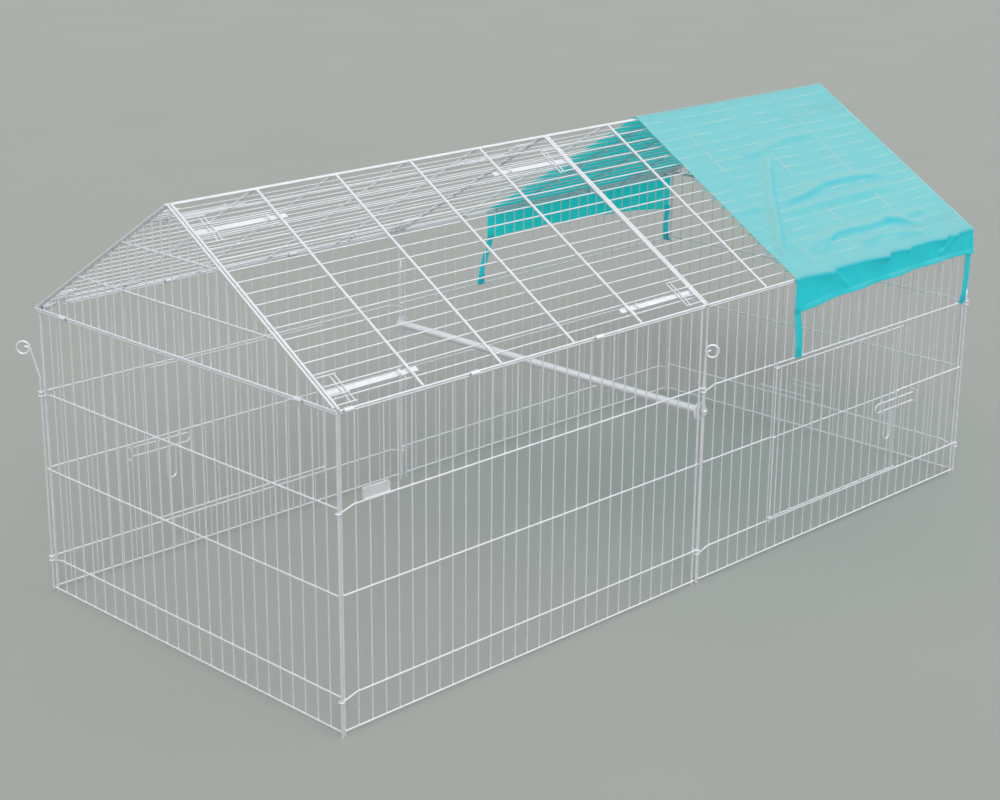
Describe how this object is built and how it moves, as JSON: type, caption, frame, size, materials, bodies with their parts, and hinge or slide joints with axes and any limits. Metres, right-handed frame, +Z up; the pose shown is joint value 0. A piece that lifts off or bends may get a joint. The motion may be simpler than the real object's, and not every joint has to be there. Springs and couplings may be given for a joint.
{
  "type": "poultry run",
  "caption": "Free-standing welded wire run for poultry with a gable roof that swings open, wire doors on slide latches, pinned wall panels and a strapped cloth sunshade.",
  "frame": {"origin": "middle of the footprint, on the ground under the posts' feet", "axes": "+X along the ridge towards the shaded end, +Y from the front long wall to the back one, +Z up"},
  "size_m": [2.2607, 1.0812, 1.0063],
  "materials": {
    "zinc_wire": "bright zinc plate on drawn wire",
    "zinc_tube": "zinc plate on tube",
    "zinc_sheet": "zinc plate on pressed sheet",
    "cloth": "turquoise woven polyester with a coated face"
  },
  "bodies": {
    "run": {"wall_front_left": "zinc_wire", "wall_front_right": "zinc_wire", "wall_right_end": "zinc_wire", "wall_back_right": "zinc_wire", "wall_back_left": "zinc_wire", "wall_left_end": "zinc_wire", "gable_left": "zinc_wire", "gable_right": "zinc_wire", "roof_front_right": "zinc_wire", "roof_back_right": "zinc_wire", "pin_left_corner": "zinc_wire", "pin_front_middle": "zinc_wire", "pin_right_corner": "zinc_wire", "pin_back_middle": "zinc_wire", "cross_strut": "zinc_tube", "strut_bolts": "zinc_wire", "strut_clamps": "zinc_sheet", "eave_clips_front": "zinc_sheet", "eave_clips_back": "zinc_sheet", "gable_clips": "zinc_sheet", "name_plate": "zinc_sheet", "end_bracket": "zinc_wire", "sunshade": "cloth", "strap_front_left": "cloth", "strap_front_right": "cloth", "strap_back_left": "cloth", "strap_back_right": "cloth"},
    "door_front": {"door_front": "zinc_wire"},
    "door_back": {"door_back": "zinc_wire"},
    "latch_front": {"latch_front": "zinc_wire"},
    "latch_back": {"latch_back": "zinc_wire"},
    "roof_front_left": {"roof_front_left": "zinc_wire"},
    "roof_back_left": {"roof_back_left": "zinc_wire"},
    "bolt_front_left_gable_low": {"bolt_front_left_gable_low": "zinc_wire"},
    "bolt_front_left_gable_high": {"bolt_front_left_gable_high": "zinc_wire"},
    "bolt_front_left_middle_low": {"bolt_front_left_middle_low": "zinc_wire"},
    "bolt_front_left_middle_high": {"bolt_front_left_middle_high": "zinc_wire"},
    "bolt_back_left_gable_low": {"bolt_back_left_gable_low": "zinc_wire"},
    "bolt_back_left_gable_high": {"bolt_back_left_gable_high": "zinc_wire"},
    "bolt_back_left_middle_low": {"bolt_back_left_middle_low": "zinc_wire"},
    "bolt_back_left_middle_high": {"bolt_back_left_middle_high": "zinc_wire"},
    "bolt_front_right_gable_low": {"bolt_front_right_gable_low": "zinc_wire"},
    "bolt_front_right_gable_high": {"bolt_front_right_gable_high": "zinc_wire"},
    "bolt_back_right_gable_low": {"bolt_back_right_gable_low": "zinc_wire"},
    "bolt_back_right_gable_high": {"bolt_back_right_gable_high": "zinc_wire"}
  },
  "joints": [
    {"name": "front_door_hinge", "type": "hinge", "parent": "run", "child": "door_front", "pos_m": [0.27069, -0.5145, 0.29], "axis": [0, 0, -1], "range_deg": [0, 150]},
    {"name": "back_door_hinge", "type": "hinge", "parent": "run", "child": "door_back", "pos_m": [-0.27069, 0.5145, 0.29], "axis": [0, 0, -1], "range_deg": [0, 150]},
    {"name": "front_latch_slide", "type": "slide", "parent": "door_front", "child": "latch_front", "axis": [1, 0, 0], "range_m": [0, 0.022]},
    {"name": "back_latch_slide", "type": "slide", "parent": "door_back", "child": "latch_back", "axis": [-1, 0, 0], "range_m": [0, 0.022]},
    {"name": "front_roof_hinge", "type": "hinge", "parent": "run", "child": "roof_front_left", "pos_m": [-0.55, -0.51, 0.6828], "axis": [1, 0, 0], "range_deg": [0, 155]},
    {"name": "back_roof_hinge", "type": "hinge", "parent": "run", "child": "roof_back_left", "pos_m": [-0.55, 0.51, 0.6828], "axis": [-1, 0, 0], "range_deg": [0, 155]},
    {"name": "bolt_front_left_gable_low_slide", "type": "slide", "parent": "roof_front_left", "child": "bolt_front_left_gable_low", "axis": [-1, 0, 0], "range_m": [0, 0.02]},
    {"name": "bolt_front_left_gable_high_slide", "type": "slide", "parent": "roof_front_left", "child": "bolt_front_left_gable_high", "axis": [-1, 0, 0], "range_m": [0, 0.02]},
    {"name": "bolt_front_left_middle_low_slide", "type": "slide", "parent": "roof_front_left", "child": "bolt_front_left_middle_low", "axis": [1, 0, 0], "range_m": [0, 0.02]},
    {"name": "bolt_front_left_middle_high_slide", "type": "slide", "parent": "roof_front_left", "child": "bolt_front_left_middle_high", "axis": [1, 0, 0], "range_m": [0, 0.02]},
    {"name": "bolt_back_left_gable_low_slide", "type": "slide", "parent": "roof_back_left", "child": "bolt_back_left_gable_low", "axis": [-1, 0, 0], "range_m": [0, 0.02]},
    {"name": "bolt_back_left_gable_high_slide", "type": "slide", "parent": "roof_back_left", "child": "bolt_back_left_gable_high", "axis": [-1, 0, 0], "range_m": [0, 0.02]},
    {"name": "bolt_back_left_middle_low_slide", "type": "slide", "parent": "roof_back_left", "child": "bolt_back_left_middle_low", "axis": [1, 0, 0], "range_m": [0, 0.02]},
    {"name": "bolt_back_left_middle_high_slide", "type": "slide", "parent": "roof_back_left", "child": "bolt_back_left_middle_high", "axis": [1, 0, 0], "range_m": [0, 0.02]},
    {"name": "bolt_front_right_gable_low_slide", "type": "slide", "parent": "run", "child": "bolt_front_right_gable_low", "axis": [1, 0, 0], "range_m": [0, 0.02]},
    {"name": "bolt_front_right_gable_high_slide", "type": "slide", "parent": "run", "child": "bolt_front_right_gable_high", "axis": [1, 0, 0], "range_m": [0, 0.02]},
    {"name": "bolt_back_right_gable_low_slide", "type": "slide", "parent": "run", "child": "bolt_back_right_gable_low", "axis": [1, 0, 0], "range_m": [0, 0.02]},
    {"name": "bolt_back_right_gable_high_slide", "type": "slide", "parent": "run", "child": "bolt_back_right_gable_high", "axis": [1, 0, 0], "range_m": [0, 0.02]}
  ]
}
